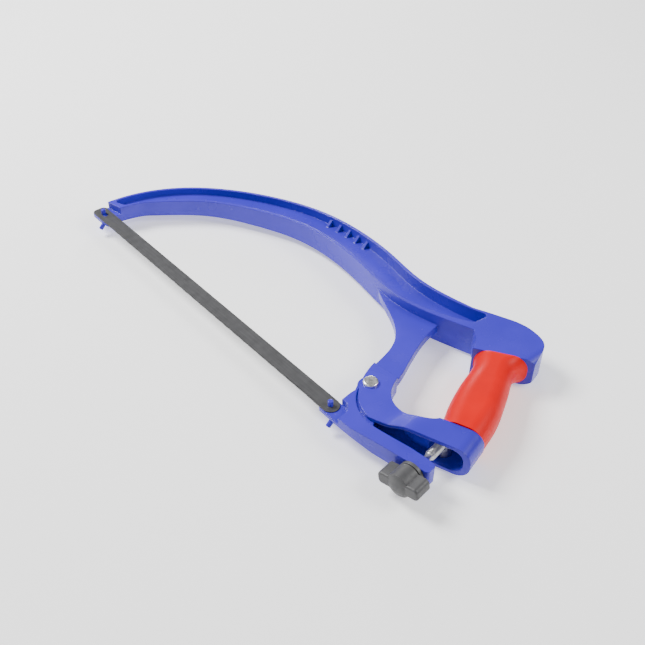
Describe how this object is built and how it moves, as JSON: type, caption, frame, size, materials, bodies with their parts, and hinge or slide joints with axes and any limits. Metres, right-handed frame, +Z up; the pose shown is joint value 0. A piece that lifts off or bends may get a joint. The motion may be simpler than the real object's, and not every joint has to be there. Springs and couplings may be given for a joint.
{
  "type": "hacksaw",
  "caption": "Fixed-frame metalworking hacksaw: ribbed cast bow, padded pistol grip, black blade on pins, and a pivoting lever that a wing-knob screw pulls in to tension the blade.",
  "frame": {"origin": "middle of the bounding box at its underside; the saw lies on its side", "axes": "+X along the blade from the front pin towards the handle, +Y from the teeth towards the bow's back, +Z up, square to the blade's flat"},
  "size_m": [0.4038, 0.1642, 0.0284],
  "materials": {
    "blue_coat": "gloss",
    "blue_pin": "gloss",
    "red_grip": "satin",
    "blade_coat": "satin",
    "knob_plastic": "satin",
    "rivet_steel": "polished",
    "zinc_steel": "zinc plated"
  },
  "bodies": {
    "frame": {"frame": "blue_coat", "grip_sleeve": "red_grip", "pivot_rivet": "rivet_steel", "rivet_washer": "rivet_steel", "front_blade_pin": "blue_pin", "front_angled_pin": "blue_pin"},
    "lever": {"tension_lever": "blue_coat", "rear_blade_pin": "blue_pin", "rear_angled_pin": "blue_pin", "thrust_washer": "knob_plastic"},
    "knob": {"tension_screw": "zinc_steel", "wing_knob": "knob_plastic"},
    "nut": {"barrel_nut": "zinc_steel"},
    "blade": {"blade": "blade_coat"}
  },
  "joints": [
    {"name": "lever_pivot", "type": "hinge", "parent": "frame", "child": "lever", "pos_m": [0.1136, -0.03714, 0.01421], "axis": [0, 0, 1], "range_deg": [-6, 0]},
    {"name": "knob_spin", "type": "hinge", "parent": "lever", "child": "knob", "pos_m": [0.1812, -0.06469, 0.01421], "axis": [-0.1219, 0.9925, 0], "range_deg": [-1940, 0]},
    {"name": "nut_trunnion", "type": "hinge", "parent": "frame", "child": "nut", "pos_m": [0.17723, -0.03234, 0.01421], "axis": [0, 0, 1], "range_deg": [-6.5, 0]},
    {"name": "blade_swing", "type": "hinge", "parent": "lever", "child": "blade", "pos_m": [0.1074, -0.06714, 0.01421], "axis": [0, 0, 1], "range_deg": [0, 6.3]}
  ],
  "couplings": [
    {"joint": "knob_spin", "follows": "lever_pivot", "ratio": 321.8},
    {"joint": "nut_trunnion", "follows": "lever_pivot", "ratio": 1},
    {"joint": "blade_swing", "follows": "lever_pivot", "ratio": -1.026}
  ]
}
